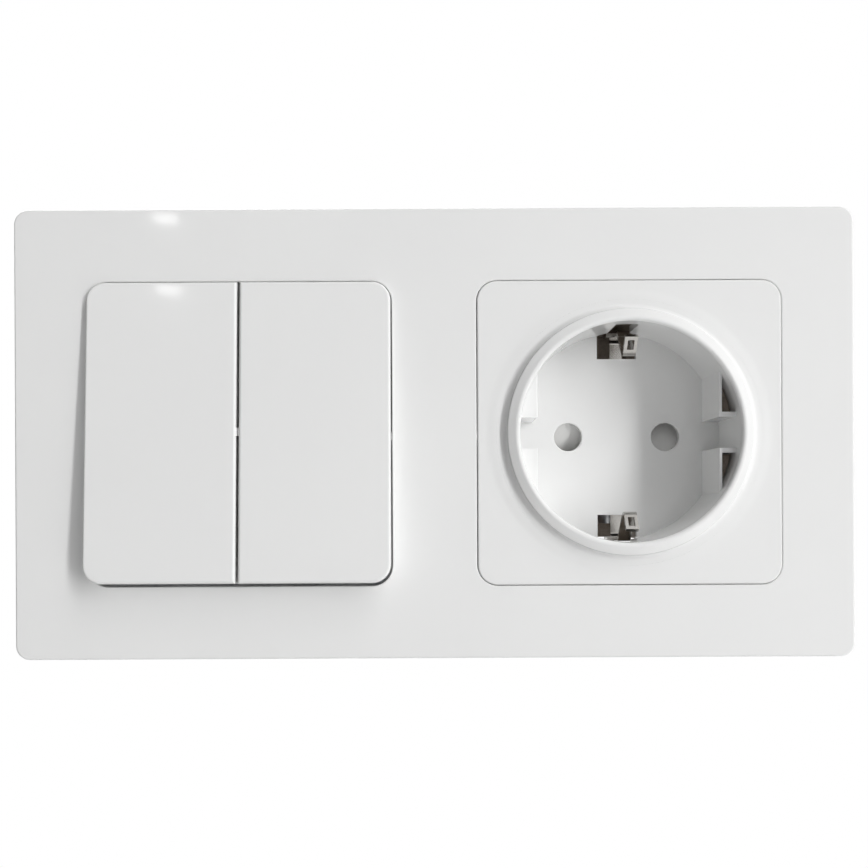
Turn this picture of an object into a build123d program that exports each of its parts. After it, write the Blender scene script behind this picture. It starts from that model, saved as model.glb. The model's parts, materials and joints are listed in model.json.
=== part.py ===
from build123d import *
from math import cos, radians, sin
import os

os.makedirs("parts", exist_ok=True)

# A two-gang wall combination: a double rocker switch on the left, an earthed socket on the right.
# Millimetres, +Z up. The wall is the plane Y = 0 and the front looks along -Y, so a height h in
# front of the wall is Y = -h. The origin is the centre of the frame's back on the wall.

# Frame
gang_pitch = 71.0
frame_height = 82.0
frame_front = 9.0
frame_wall = 1.8
frame_skin = 2.0
frame_corner = 2.6
frame_edge = 0.4
window_corner = 3.8
window_skirt = 1.4
window_edge = 0.25
skirt_back = 4.0
frame_rib = 1.2
rib_back = 5.0
rib_place = 15.5
foot_radius = 1.6
foot_inset = 4.0

# Support plates
plate_back = 0.2
plate_sheet = 1.0
plate_gap = 1.0
plate_margin = 4.2
plate_corner = 7.0
box_inset = 5.0
box_slot_width = 3.8
box_slot_length = 4.6
opening_clearance = 0.3
switch_opening = 23.5
fixing_margin = 2.7
fixing_angle = 55.0
fixing_hole = 1.6
fixing_shank = 1.5
fixing_head = 2.6
fixing_crown = 0.9
lug_inset = 2.0
lug_width = 8.0
lug_clearance = 0.2
catch_width = 4.4
catch_height = 0.8
catch_clearance = 0.2
tongue_sheet = 1.2

# Rockers
rocker_side_play = 0.2
rocker_gap = 0.5
rocker_end_play = 0.5
rocker_corner = 3.4
rocker_edge = 0.5
rocker_skin = 1.8
rocker_wall = 1.4
rocker_depth = 6.2
rocker_reach = 5.7
rocker_tilt = 3.3
pivot_height = 5.8
nub_height = 1.5
nub_clearance = 0.16
clip_wall = 1.2
clip_width = 8.0
clip_catch = 0.6
clip_play = 0.05

# Toggles, plungers and their springs
toggle_place = 13.85
toggle_width = 16.0
toggle_length = 26.0
toggle_plate = 1.8
trunnion_radius = 1.5
trunnion_play = 0.05
bearing_wall = 1.5
bearing_side_play = 0.25
bearing_margin = 1.0
tail_radius = 2.6
tail_end = 8.0
plunger_bore = 1.7
plunger_play = 0.08
plunger_tip = 12.0
plunger_nose = 1.2
plunger_top = 5.0
bore_top = 1.6
toggle_wire = 0.5
toggle_turns = 2.5

# Bridge over the switch base
bridge_sheet = 2.0
bridge_width = 49.0
bridge_length = 53.0
bridge_corner = 4.0
tail_slot_width = 7.0
tail_slot_length = 9.0

# Switch base and contacts
base_width = 46.0
base_length = 42.0
base_corner = 9.0
base_wall = 2.2
base_floor = 2.0
flange_margin = 3.5
flange_sheet = 1.8
partition_drop = 2.7
contact_width = 5.0
contact_length = 16.0
contact_sheet = 0.8
contact_tilt = 6.0
contact_gap = 0.15
fulcrum_radius = 0.9
fulcrum_play = 0.06
fulcrum_relief = 0.35
rivet_place = 6.2
rivet_radius = 1.4
rivet_sheet = 0.7
busbar_half = 1.8
busbar_height = 3.7
strip_sheet = 1.2
terminal_place = 12.6
terminal_width = 8.4
terminal_height = 10.0
clamp_sheet = 1.2
clamp_size = 7.6
screw_radius = 1.75
screw_play = 0.15
screw_head = 3.0
screw_head_height = 2.0
screw_length = 6.4
screw_slot = 0.9
access_width = 8.4
wire_window = 3.2
wire_place = 2.5

# Socket cover with collar, well and keys
cover_size = 55.36
cover_play = 0.12
cover_corner = 3.6
cover_proud = 0.2
cover_sheet = 2.0
cover_edge = 0.3
cover_rim_back = 4.6
collar_height = 2.2
collar_slope = 0.15
collar_spread = 1.8
collar_cove = 1.0
collar_step = 0.12
crest_land = 0.8
crest_width = 2.3
crest_drop = 0.7
crest_inner_round = 0.6
crest_land_round = 0.7
crest_outer_round = 0.35
well_radius = 20.0
well_wall = 1.3
well_depth = 16.2
well_floor = 1.4
pin_spacing = 19.0
pin_hole = 2.7
pin_edge = 0.25
key_depth = 3.4
key_height = 12.9
key_slot = 5.7
key_wall = 0.5
key_side_wall = 0.9
key_edge = 0.2
key_roof = 1.5
key_lug_drop = 2.8
key_lug_play = 0.2
notch_depth = 4.8
notch_floor_width = 7.6
notch_width = 4.2
notch_height = 12.2
notch_shoulder = 0.6
notch_taper = 2.0
arm_width = 8.0
arm_sheet = 1.2
arm_catch = 0.6
arm_play = 0.1

# Shutter
shutter_play = 0.15
shutter_sheet = 3.0
shutter_margin = 0.6
shutter_reach = 13.3
shutter_turn = 40.0
ramp_depth = 2.2
ramp_width = 6.6
hub_radius = 5.2
hub_play = 0.2
stud_radius = 1.2
stop_sheet = 1.2
stop_length = 2.4
stop_inset = 1.2
stop_play = 0.1
stop_height = 2.0
spring_well_radius = 2.7
spring_well_depth = 2.1
shutter_spring_radius = 1.9
shutter_wire = 0.4
shutter_turns = 2.5

# Socket base and contacts
cup_clearance = 0.4
cup_wall = 1.5
cup_front = 5.5
lip_height = 1.1
lip_reach = 0.8
socket_flats = 40.0
pocket_play = 0.4
tulip_width = 5.0
tulip_sheet = 0.8
tulip_pinch = 2.4
tulip_mouth = 3.4
tulip_foot = 2.9
tulip_length = 13.5
tulip_drop = 1.5
tulip_throat = 2.5
earth_sheet = 0.8
earth_inset = 0.2
earth_width = 4.0
earth_finger_start = -0.4
earth_tab_top = 0.3
earth_tab_length = 4.0
earth_slot_width = 1.2
earth_slot_start = 2.9
earth_slot_end = 4.5
earth_tip_reach = 5.5
earth_end_reach = 2.1
earth_bend_height = 3.0
earth_tip_height = 9.2
earth_end_height = 12.0
earth_round = 1.0
earth_strap_width = 5.0
earth_strap_margin = 1.0
earth_channel_play = 0.2

# Heights and places that follow
switch_x = -gang_pitch / 2
socket_x = gang_pitch / 2
frame_width = frame_height + gang_pitch
plate_front = plate_back + plate_sheet
plate_width = gang_pitch - plate_gap
plate_height = frame_height - 2 * (frame_wall + plate_margin)
box_spacing = plate_width - 2 * box_inset
lug_place = plate_height / 2 - lug_inset
lug_height = skirt_back - lug_clearance - plate_front
foot_x = plate_width / 2 - foot_inset
foot_z = plate_height / 2 - foot_inset
window_size = cover_size + 2 * cover_play
rocker_pair_width = window_size - 2 * rocker_side_play
rocker_length = window_size - 2 * rocker_end_play
cover_front = frame_front + cover_proud
cover_back = cover_front - cover_sheet
crest = cover_front + collar_height
floor_front = crest - well_depth
floor_back = floor_front - well_floor
well_outer = well_radius + well_wall
crest_edge = well_radius + crest_land
crest_outer = well_radius + crest_width
collar_foot = crest_outer + collar_slope
collar_edge = collar_foot + collar_spread
key_flat = well_radius - key_depth
key_top = floor_front + key_height
notch_inner = well_radius - notch_depth
earth_leg = well_radius - earth_inset
earth_tip = well_radius - earth_tip_reach
earth_end = well_radius - earth_end_reach
earth_strap_end = notch_inner - earth_strap_margin
cup_inner = well_outer + cup_clearance
cup_outer = cup_inner + cup_wall
opening_radius = cup_outer + opening_clearance
shutter_front = floor_back - shutter_play
shutter_back = shutter_front - shutter_sheet
deck = shutter_back - shutter_play
shutter_half = pin_hole + shutter_margin
fulcrum = pivot_height - plunger_tip - contact_gap - contact_sheet
strip_back = fulcrum - fulcrum_relief - busbar_height
terminal_top = strip_back + strip_sheet
switch_floor = terminal_top - terminal_height
switch_back = switch_floor - base_floor
rivet_swing = (rivet_place + rivet_radius) * sin(radians(contact_tilt))
fixed_top = fulcrum - rivet_swing - rivet_sheet - contact_gap
tulip_top = deck - tulip_drop
tulip_bottom = tulip_top - tulip_length
tulip_terminal = tulip_bottom + terminal_height
socket_back = tulip_bottom - base_floor
strap_back = deck - 2 * earth_sheet
terminal_face = terminal_place + strip_sheet
clamp_face = terminal_face + clamp_sheet
switch_fixing = switch_opening + fixing_margin
socket_fixing = opening_radius + fixing_margin


def facing(x, height, z=0.0):
    """A plane parallel to the wall, seen from the front."""
    return Plane(origin=(x, -height, z), x_dir=(1, 0, 0), z_dir=(0, -1, 0))


def sideways(x):
    """A plane across the wall: its first axis is Z, its second the height in front of the wall."""
    return Plane(origin=(x, 0, 0), x_dir=(0, 0, 1), z_dir=(1, 0, 0))


def level(x, z=0.0):
    """A level plane: its first axis is X, its second the height in front of the wall."""
    return Plane(origin=(x, 0, z), x_dir=(1, 0, 0), z_dir=(0, 0, -1))


def tilted(x, ahead):
    """A plane parallel to a resting rocker, at a distance ahead of its pivot."""
    normal = Vector(0, -cos(radians(rocker_tilt)), sin(radians(rocker_tilt)))
    pivot = Vector(x, -pivot_height, 0)
    return Plane(origin=pivot + normal * ahead, x_dir=(1, 0, 0), z_dir=normal)


def swung(x, ahead):
    """A plane parallel to a resting moving contact, at a distance ahead of its fulcrum."""
    normal = Vector(0, -cos(radians(contact_tilt)), -sin(radians(contact_tilt)))
    pivot = Vector(x, -fulcrum, 0)
    return Plane(origin=pivot + normal * ahead, x_dir=(1, 0, 0), z_dir=normal)


def fixing_grid(radius):
    """The four fixing places of an insert, on a circle of this radius."""
    across = 2 * radius * cos(radians(fixing_angle))
    along = 2 * radius * sin(radians(fixing_angle))
    return GridLocations(across, along, 2, 2)


def flange_sketch(radius):
    """The outline of an insert's flange around its fixings."""
    across = 2 * (radius * cos(radians(fixing_angle)) + flange_margin)
    along = 2 * (radius * sin(radians(fixing_angle)) + flange_margin)
    Rectangle(across, along)
    Circle(radius + flange_margin, mode=Mode.INTERSECT)


def key_hollow(side, play):
    """The hollow of a guide key, or the lug that fills it with this play."""
    Circle(well_radius - play)
    with Locations((side * (key_flat + key_wall + play + well_radius), 0)):
        Rectangle(2 * well_radius, 2 * well_radius, mode=Mode.INTERSECT)
    Rectangle(3 * well_radius, key_slot + 2 * (key_side_wall + play), mode=Mode.SUBTRACT)


def upright(x, height, z, way):
    """A plane across the Z axis that faces up or down, for terminals and their screws."""
    return Plane(origin=(x, -height, z), x_dir=(1, 0, 0), z_dir=(0, 0, way))


# Frame: a hollow plate with two windows, ribs, feet and snap tongues
with BuildPart() as frame:
    with BuildSketch(facing(0, 0)):
        RectangleRounded(frame_width, frame_height, frame_corner)
    extrude(amount=frame_front)
    fillet(frame.faces().sort_by(Axis.Y)[0].edges(), frame_edge)
    with BuildSketch(facing(0, 0)):
        RectangleRounded(frame_width - 2 * frame_wall, frame_height - 2 * frame_wall, 1.0)
    extrude(amount=frame_front - frame_skin, mode=Mode.SUBTRACT)
    for gang_x in (switch_x, socket_x):
        with BuildSketch(facing(gang_x, skirt_back)):
            skirt_size = window_size + 2 * window_skirt
            RectangleRounded(skirt_size, skirt_size, window_corner + window_skirt)
        extrude(amount=frame_front - frame_skin / 2 - skirt_back)
        with BuildSketch(facing(gang_x, rib_back)):
            with Locations((-rib_place, 0), (rib_place, 0)):
                Rectangle(frame_rib, frame_height - frame_wall)
        extrude(amount=frame_front - frame_skin / 2 - rib_back)
        with BuildSketch(facing(gang_x, plate_front)):
            with GridLocations(2 * foot_x, 2 * foot_z, 2, 2):
                Circle(foot_radius)
        extrude(amount=frame_front - frame_skin / 2 - plate_front)
        tongue_place = lug_place + plate_sheet + catch_clearance
        catch_base = plate_front + (lug_height - catch_height) / 2
        for way in (-1, 1):
            with BuildSketch(facing(gang_x, plate_front + catch_clearance)):
                with Locations((0, way * (tongue_place + tongue_sheet / 2))):
                    Rectangle(lug_width, tongue_sheet)
            extrude(amount=frame_front - frame_skin / 2 - plate_front - catch_clearance)
            with BuildSketch(facing(gang_x, catch_base)):
                with Locations((0, way * (lug_place + plate_sheet / 2 + tongue_place) / 2)):
                    Rectangle(catch_width - 2 * catch_clearance, tongue_place - lug_place - plate_sheet / 2)
            extrude(amount=catch_height)
    with BuildSketch(facing(0, rib_back)):
        Rectangle(frame_rib, frame_height - frame_wall)
    extrude(amount=frame_front - frame_skin / 2 - rib_back)
    for gang_x in (switch_x, socket_x):
        with BuildSketch(facing(gang_x, 0)):
            RectangleRounded(window_size, window_size, window_corner)
        extrude(amount=frame_front, mode=Mode.SUBTRACT)
    fillet(frame.faces().sort_by(Axis.Y)[0].inner_wires().edges(), window_edge)


def support_plate(gang_x, opening, fixing):
    """A steel support plate with box-screw slots and two upturned lugs for the frame."""
    with BuildPart() as plate:
        with BuildSketch(facing(gang_x, plate_back)):
            RectangleRounded(plate_width, plate_height, plate_corner)
            Circle(opening, mode=Mode.SUBTRACT)
            Rectangle(
                2 * (opening + lip_reach),
                arm_width + 4 * opening_clearance,
                mode=Mode.SUBTRACT,
            )
            with Locations((-box_spacing / 2, 0), (box_spacing / 2, 0)):
                SlotOverall(box_slot_length, box_slot_width, mode=Mode.SUBTRACT)
            with fixing_grid(fixing):
                Circle(fixing_hole, mode=Mode.SUBTRACT)
        extrude(amount=plate_sheet)
        for way in (-1, 1):
            with BuildSketch(facing(gang_x, plate_front)):
                with Locations((0, way * (lug_place + plate_sheet / 2))):
                    Rectangle(lug_width, plate_sheet)
            extrude(amount=lug_height)
        with BuildSketch(facing(gang_x, plate_front + (lug_height - catch_height) / 2 - catch_clearance)):
            Rectangle(catch_width, plate_height)
            Rectangle(catch_width, 2 * lug_place - plate_sheet, mode=Mode.SUBTRACT)
        extrude(amount=catch_height + 2 * catch_clearance, mode=Mode.SUBTRACT)
    return plate


switch_plate = support_plate(switch_x, switch_opening, switch_fixing)
socket_plate = support_plate(socket_x, opening_radius, socket_fixing)


def rocker_cap(side):
    """One half-width rocker cap in its resting tilt; side is -1 for left and 1 for right."""
    width = (rocker_pair_width - rocker_gap) / 2
    middle = side * (rocker_gap + width) / 2
    underside = rocker_reach - rocker_skin
    with BuildPart() as cap:
        with BuildSketch(tilted(switch_x, rocker_reach - rocker_depth)) as outline:
            with Locations((middle, 0)):
                Rectangle(width, rocker_length)
            fillet(outline.vertices().sort_by(Axis.X)[::side][-2:], rocker_corner)
        extrude(amount=rocker_depth)
        fillet(cap.faces().sort_by(Axis.Y)[0].edges(), rocker_edge)
        with BuildSketch(tilted(switch_x, rocker_reach - rocker_depth)):
            with Locations((middle, 0)):
                RectangleRounded(width - 2 * rocker_wall, rocker_length - 2 * rocker_wall, 0.8)
        extrude(amount=rocker_depth - rocker_skin, mode=Mode.SUBTRACT)
        clip_side = toggle_length / 2 + clip_play
        clip_end = underside - toggle_plate - clip_play - clip_catch
        with BuildSketch(tilted(switch_x, clip_end)):
            with GridLocations(0, 2 * clip_side + clip_wall, 1, 2):
                with Locations((side * toggle_place, 0)):
                    Rectangle(clip_width, clip_wall)
        extrude(amount=underside - clip_end)
        with BuildSketch(tilted(switch_x, clip_end)):
            with GridLocations(0, 2 * clip_side - clip_catch, 1, 2):
                with Locations((side * toggle_place, 0)):
                    Rectangle(clip_width, clip_catch)
        extrude(amount=clip_catch)
        nub_reach = (rocker_gap - nub_clearance) / 2
        with BuildSketch(tilted(switch_x, underside)):
            with Locations((side * (rocker_gap - nub_reach) / 2, 0)):
                Rectangle(nub_reach, nub_height)
        extrude(amount=rocker_skin - 0.4)
    return cap


rocker_left = rocker_cap(-1)
rocker_right = rocker_cap(1)


def toggle_body(side):
    """The toggle under one rocker cap, with its trunnions and the tube for its plunger."""
    middle = switch_x + side * toggle_place
    top = rocker_reach - rocker_skin
    hub_half = toggle_width / 2 - 1.0
    with BuildPart() as body:
        with BuildSketch(tilted(middle, top - toggle_plate)):
            Rectangle(toggle_width, toggle_length)
        extrude(amount=toggle_plate)
        with BuildSketch(tilted(middle, -trunnion_radius)):
            Rectangle(2 * hub_half, 2 * tail_radius + 0.8)
        extrude(amount=top - toggle_plate + trunnion_radius)
        with BuildSketch(Plane(origin=(middle, -pivot_height, 0), x_dir=(0, 0, 1), z_dir=(1, 0, 0))):
            Circle(trunnion_radius)
        extrude(amount=toggle_width / 2 + bearing_side_play + bearing_wall, both=True)
        with BuildSketch(tilted(middle, -tail_end)):
            Circle(tail_radius)
        extrude(amount=tail_end)
        with BuildSketch(tilted(middle, -tail_end)):
            Circle(plunger_bore)
        extrude(amount=tail_end - bore_top, mode=Mode.SUBTRACT)
    return body


toggle_left = toggle_body(-1)
toggle_right = toggle_body(1)


def toggle_plunger(side):
    """The sprung plunger that rides on a moving contact."""
    middle = switch_x + side * toggle_place
    with BuildPart() as plunger:
        with BuildSketch(tilted(middle, -plunger_tip)):
            Circle(plunger_nose)
        extrude(amount=plunger_tip - plunger_top)
        with BuildSketch(tilted(middle, -tail_end)):
            Circle(plunger_bore - plunger_play)
        extrude(amount=tail_end - plunger_top)
        fillet(plunger.edges().filter_by(GeomType.CIRCLE).sort_by(Axis.Y)[-1], plunger_nose * 0.9)
    return plunger


plunger_left = toggle_plunger(-1)
plunger_right = toggle_plunger(1)


def toggle_coil(side):
    """The coil spring between a plunger and its toggle."""
    middle = switch_x + side * toggle_place
    coil = plunger_bore - plunger_play - toggle_wire / 2
    start = tilted(middle, -plunger_top + toggle_wire / 2)
    height = plunger_top - bore_top - toggle_wire
    with BuildPart() as spring:
        with BuildLine() as path:
            Helix(height / toggle_turns, height, coil, center=start.origin, direction=start.z_dir)
        outward = path.line @ 0 - start.origin
        with BuildSketch(Plane(origin=path.line @ 0, x_dir=outward, z_dir=path.line % 0)):
            Rectangle(toggle_wire, toggle_wire)
        sweep(path=path.line, is_frenet=True)
    return spring


spring_left = toggle_coil(-1)
spring_right = toggle_coil(1)

# Bridge: the plate that carries the toggles, with two bearing walls for each
bearing_inner = toggle_width / 2 + bearing_side_play
bearing_places = []
for middle in (-toggle_place, toggle_place):
    bearing_places.append(middle - bearing_inner - bearing_wall / 2)
    bearing_places.append(middle + bearing_inner + bearing_wall / 2)
with BuildPart() as switch_bridge:
    with BuildSketch(facing(switch_x, plate_front)):
        RectangleRounded(bridge_width, bridge_length, bridge_corner)
        with Locations((-toggle_place, 0), (toggle_place, 0)):
            Rectangle(tail_slot_width, tail_slot_length, mode=Mode.SUBTRACT)
        with fixing_grid(switch_fixing):
            Circle(fixing_hole, mode=Mode.SUBTRACT)
    extrude(amount=bridge_sheet)
    with BuildSketch(facing(switch_x, plate_front + bridge_sheet)):
        for place in bearing_places:
            with Locations((place, 0)):
                Rectangle(bearing_wall, 4 * trunnion_radius)
    extrude(amount=pivot_height + trunnion_radius + bearing_margin - plate_front - bridge_sheet)
    with BuildSketch(Plane(origin=(switch_x, -pivot_height, 0), x_dir=(0, 0, 1), z_dir=(1, 0, 0))):
        Circle(trunnion_radius + trunnion_play)
        with Locations((0, trunnion_radius + bearing_margin)):
            Rectangle(1.5 * trunnion_radius, 2 * (trunnion_radius + bearing_margin))
    extrude(amount=bridge_width, both=True, mode=Mode.SUBTRACT)

# Switch base: an open box behind the support plate with seats for the contacts
with BuildPart() as switch_base:
    with BuildSketch(facing(switch_x, switch_back)):
        RectangleRounded(base_width, base_length, base_corner)
    extrude(amount=plate_back - switch_back)
    with BuildSketch(facing(switch_x, plate_back - flange_sheet)):
        flange_sketch(switch_fixing)
    extrude(amount=flange_sheet)
    with BuildSketch(facing(switch_x, switch_floor)):
        RectangleRounded(base_width - 2 * base_wall, base_length - 2 * base_wall, base_corner - base_wall)
    extrude(amount=plate_back - switch_floor, mode=Mode.SUBTRACT)
    with BuildSketch(facing(switch_x, plate_back - flange_sheet)):
        with fixing_grid(switch_fixing):
            Circle(fixing_shank)
    extrude(amount=flange_sheet, mode=Mode.SUBTRACT)
    with BuildSketch(facing(switch_x, switch_floor)):
        Rectangle(2 * toggle_place + contact_width, 2 * busbar_half)
        with GridLocations(2 * toggle_place, 0, 2, 1):
            with Locations((0, rivet_place)):
                Rectangle(contact_width, 2 * rivet_radius)
    extrude(amount=strip_back - switch_floor)
    partition_start = busbar_half + base_wall
    partition_end = base_length / 2 - base_wall / 2
    with BuildSketch(facing(switch_x, switch_floor)):
        with Locations((0, (partition_start + partition_end) / 2)):
            Rectangle(base_wall, partition_end - partition_start)
    extrude(amount=plate_back - partition_drop - switch_floor)
    access = (switch_floor + terminal_top) / 2
    for place, way in ((-toggle_place, 1), (toggle_place, 1), (0, -1)):
        with BuildSketch(upright(switch_x + place, access, way * terminal_face, way)):
            Rectangle(access_width, access_width)
        extrude(amount=base_length / 2, mode=Mode.SUBTRACT)
        wire_line = way * (terminal_face + wire_window / 2)
        with BuildSketch(facing(switch_x + place, switch_back)):
            with Locations((-wire_place, wire_line), (wire_place, wire_line)):
                Rectangle(wire_window, wire_window)
        extrude(amount=base_floor, mode=Mode.SUBTRACT)


def moving_contact(side):
    """A see-saw contact on its half-round fulcrum rib, with its contact rivet."""
    middle = switch_x + side * toggle_place
    with BuildPart() as contact:
        with BuildSketch(swung(middle, 0)):
            Rectangle(contact_width, contact_length)
        extrude(amount=contact_sheet)
        with BuildSketch(Plane(origin=(middle, -fulcrum, 0), x_dir=(0, 0, 1), z_dir=(1, 0, 0))):
            Circle(fulcrum_radius)
        extrude(amount=contact_width / 2, both=True)
        with BuildSketch(swung(middle, contact_sheet)):
            Rectangle(contact_width, contact_length)
        extrude(amount=2 * fulcrum_radius, mode=Mode.SUBTRACT)
        with BuildSketch(swung(middle, -rivet_sheet)):
            with Locations((0, rivet_place)):
                Circle(rivet_radius)
        extrude(amount=rivet_sheet)
    return contact


contact_left = moving_contact(-1)
contact_right = moving_contact(1)

# Common terminal: a bar under both moving contacts with a strip to its screw
with BuildPart() as common_terminal:
    with BuildSketch(facing(switch_x, strip_back)):
        Rectangle(2 * toggle_place + contact_width, 2 * busbar_half)
    extrude(amount=busbar_height)
    with BuildSketch(sideways(switch_x)):
        with Locations((0, fulcrum)):
            Circle(fulcrum_radius + fulcrum_play)
    extrude(amount=base_width / 2, both=True, mode=Mode.SUBTRACT)
    with BuildSketch(facing(switch_x, strip_back)):
        with Locations((0, -terminal_face / 2)):
            Rectangle(contact_width, terminal_face)
    extrude(amount=strip_sheet)
    with BuildSketch(upright(switch_x, (terminal_top + switch_floor) / 2, -terminal_place, -1)):
        Rectangle(terminal_width, terminal_height)
        Circle(screw_radius, mode=Mode.SUBTRACT)
    extrude(amount=strip_sheet)


def output_terminal(side):
    """A fixed contact with its strip and screw terminal."""
    middle = switch_x + side * toggle_place
    start = rivet_place - rivet_radius
    with BuildPart() as terminal:
        with BuildSketch(facing(middle, strip_back)):
            with Locations((0, (start + terminal_face) / 2)):
                Rectangle(contact_width, terminal_face - start)
        extrude(amount=strip_sheet)
        with BuildSketch(facing(middle, terminal_top)):
            with Locations((0, rivet_place)):
                Circle(rivet_radius)
        extrude(amount=fixed_top - terminal_top)
        with BuildSketch(upright(middle, (terminal_top + switch_floor) / 2, terminal_place, 1)):
            Rectangle(terminal_width, terminal_height)
            Circle(screw_radius, mode=Mode.SUBTRACT)
        extrude(amount=strip_sheet)
    return terminal


output_left = output_terminal(-1)
output_right = output_terminal(1)


def clamp_plates(places):
    """Square clamp plates against the terminals at the given places."""
    with BuildPart() as plates:
        for x, height, way in places:
            with BuildSketch(upright(x, height, way * terminal_face, way)):
                Rectangle(clamp_size, clamp_size)
                Circle(screw_radius + screw_play, mode=Mode.SUBTRACT)
            extrude(amount=clamp_sheet)
    return plates


def terminal_screws(places):
    """Slotted pan-head screws through the clamp plates into the terminals."""
    with BuildPart() as screws:
        for x, height, way in places:
            with BuildSketch(upright(x, height, way * clamp_face, way)):
                Circle(screw_head)
            extrude(amount=screw_head_height)
            with BuildSketch(upright(x, height, way * clamp_face, way)):
                Circle(screw_radius)
            extrude(amount=-screw_length)
            with BuildSketch(upright(x, height, way * (clamp_face + screw_head_height), way)):
                Rectangle(2 * screw_head, screw_slot)
            extrude(amount=-screw_slot, mode=Mode.SUBTRACT)
    return screws


switch_terminal_height = (terminal_top + switch_floor) / 2
switch_terminals = [
    (switch_x - toggle_place, switch_terminal_height, 1),
    (switch_x + toggle_place, switch_terminal_height, 1),
    (switch_x, switch_terminal_height, -1),
]
switch_clamps = clamp_plates(switch_terminals)
switch_screws = terminal_screws(switch_terminals)


def fixings(gang_x, seat, radius):
    """Four rivets that hold an insert to its support plate."""
    shank_end = plate_back - flange_sheet
    with BuildPart() as group:
        with BuildSketch(facing(gang_x, shank_end)):
            with fixing_grid(radius):
                Circle(fixing_shank)
        extrude(amount=seat - shank_end)
        with BuildSketch(facing(gang_x, seat)):
            with fixing_grid(radius):
                Circle(fixing_head)
        extrude(amount=fixing_crown)
    return group


bridge_fixings = fixings(switch_x, plate_front + bridge_sheet, switch_fixing)
socket_fixings = fixings(socket_x, plate_front, socket_fixing)

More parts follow.
